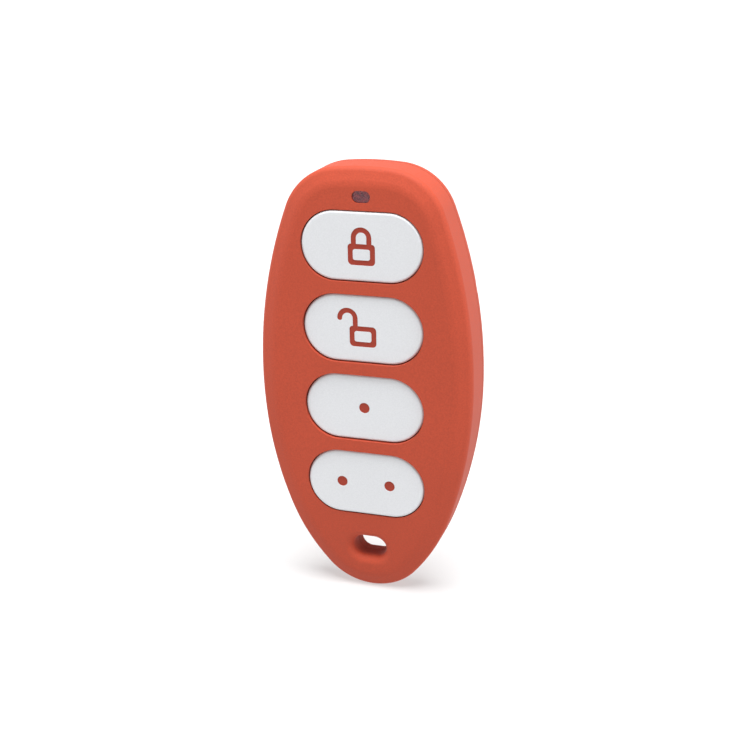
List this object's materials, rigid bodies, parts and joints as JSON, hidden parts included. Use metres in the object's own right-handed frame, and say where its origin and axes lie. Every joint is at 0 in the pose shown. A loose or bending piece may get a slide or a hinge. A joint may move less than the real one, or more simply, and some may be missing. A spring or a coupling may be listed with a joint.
{
  "type": "key fob transmitter",
  "caption": "Handheld remote transmitter with an egg-shaped orange housing, white pill keys with icons, a small indicator window and a key ring slot.",
  "frame": {"origin": "at the tip of the narrow end, in the middle of the width and of the depth", "axes": "+Z from the narrow end with the key ring slot up to the crown, +X to the right as seen from the keys, -Y the way the keys face"},
  "size_m": [0.0358, 0.0104, 0.0726],
  "materials": {
    "housing_orange": "soft-touch matte",
    "key_white": "fine satin",
    "key_orange": "matte",
    "switch_black": "matte",
    "stem_plastic": "satin",
    "spring_steel": "bright",
    "tinned_metal": "satin",
    "smoky_window": "smoky, glossy",
    "clear_lens": "clear, glossy",
    "board_green": "lacquered",
    "chip_black": "matte",
    "crystal_can": "satin",
    "antenna_metal": "satin",
    "resistor_black": "satin",
    "capacitor_tan": "satin",
    "cell_steel": "fine brushed",
    "gold_pad": "satin",
    "screw_steel": "satin"
  },
  "bodies": {
    "housing": {"front_cover": "housing_orange", "back_cover": "housing_orange", "lock_switch_base": "switch_black", "lock_switch_cover": "spring_steel", "lock_switch_dome": "spring_steel", "unlock_switch_base": "switch_black", "unlock_switch_cover": "spring_steel", "unlock_switch_dome": "spring_steel", "one_dot_switch_base": "switch_black", "one_dot_switch_cover": "spring_steel", "one_dot_switch_dome": "spring_steel", "two_dots_switch_base": "switch_black", "two_dots_switch_cover": "spring_steel", "two_dots_switch_dome": "spring_steel", "switch_terminals": "tinned_metal", "indicator_window": "smoky_window", "indicator_light": "clear_lens", "circuit_board": "board_green", "radio_chip": "chip_black", "radio_chip_legs": "tinned_metal", "crystal": "crystal_can", "loop_antenna": "antenna_metal", "chip_resistors": "resistor_black", "chip_capacitors": "capacitor_tan", "coin_cell": "cell_steel", "battery_pad": "gold_pad", "battery_clip": "spring_steel", "cover_screws": "screw_steel"},
    "lock_button": {"lock_button_cap": "key_white", "lock_button_core": "key_orange"},
    "lock_stem": {"lock_switch_stem": "stem_plastic"},
    "unlock_button": {"unlock_button_cap": "key_white", "unlock_button_core": "key_orange"},
    "unlock_stem": {"unlock_switch_stem": "stem_plastic"},
    "one_dot_button": {"one_dot_button_cap": "key_white", "one_dot_button_core": "key_orange"},
    "one_dot_stem": {"one_dot_switch_stem": "stem_plastic"},
    "two_dots_button": {"two_dots_button_cap": "key_white", "two_dots_button_core": "key_orange"},
    "two_dots_stem": {"two_dots_switch_stem": "stem_plastic"}
  },
  "joints": [
    {"name": "lock_press", "type": "slide", "parent": "housing", "child": "lock_button", "axis": [0, 1, 0], "range_m": [0, 0.00025], "stiffness_N_per_m": 6400},
    {"name": "lock_stem_press", "type": "slide", "parent": "housing", "child": "lock_stem", "axis": [0, 1, 0], "range_m": [0, 0.00025], "deforming": ["lock_switch_dome"]},
    {"name": "unlock_press", "type": "slide", "parent": "housing", "child": "unlock_button", "axis": [0, 1, 0], "range_m": [0, 0.00025], "stiffness_N_per_m": 6400},
    {"name": "unlock_stem_press", "type": "slide", "parent": "housing", "child": "unlock_stem", "axis": [0, 1, 0], "range_m": [0, 0.00025], "deforming": ["unlock_switch_dome"]},
    {"name": "one_dot_press", "type": "slide", "parent": "housing", "child": "one_dot_button", "axis": [0, 1, 0], "range_m": [0, 0.00025], "stiffness_N_per_m": 6400},
    {"name": "one_dot_stem_press", "type": "slide", "parent": "housing", "child": "one_dot_stem", "axis": [0, 1, 0], "range_m": [0, 0.00025], "deforming": ["one_dot_switch_dome"]},
    {"name": "two_dots_press", "type": "slide", "parent": "housing", "child": "two_dots_button", "axis": [0, 1, 0], "range_m": [0, 0.00025], "stiffness_N_per_m": 6400},
    {"name": "two_dots_stem_press", "type": "slide", "parent": "housing", "child": "two_dots_stem", "axis": [0, 1, 0], "range_m": [0, 0.00025], "deforming": ["two_dots_switch_dome"]}
  ],
  "couplings": [
    {"joint": "lock_stem_press", "follows": "lock_press", "ratio": 1},
    {"joint": "unlock_stem_press", "follows": "unlock_press", "ratio": 1},
    {"joint": "one_dot_stem_press", "follows": "one_dot_press", "ratio": 1},
    {"joint": "two_dots_stem_press", "follows": "two_dots_press", "ratio": 1}
  ]
}
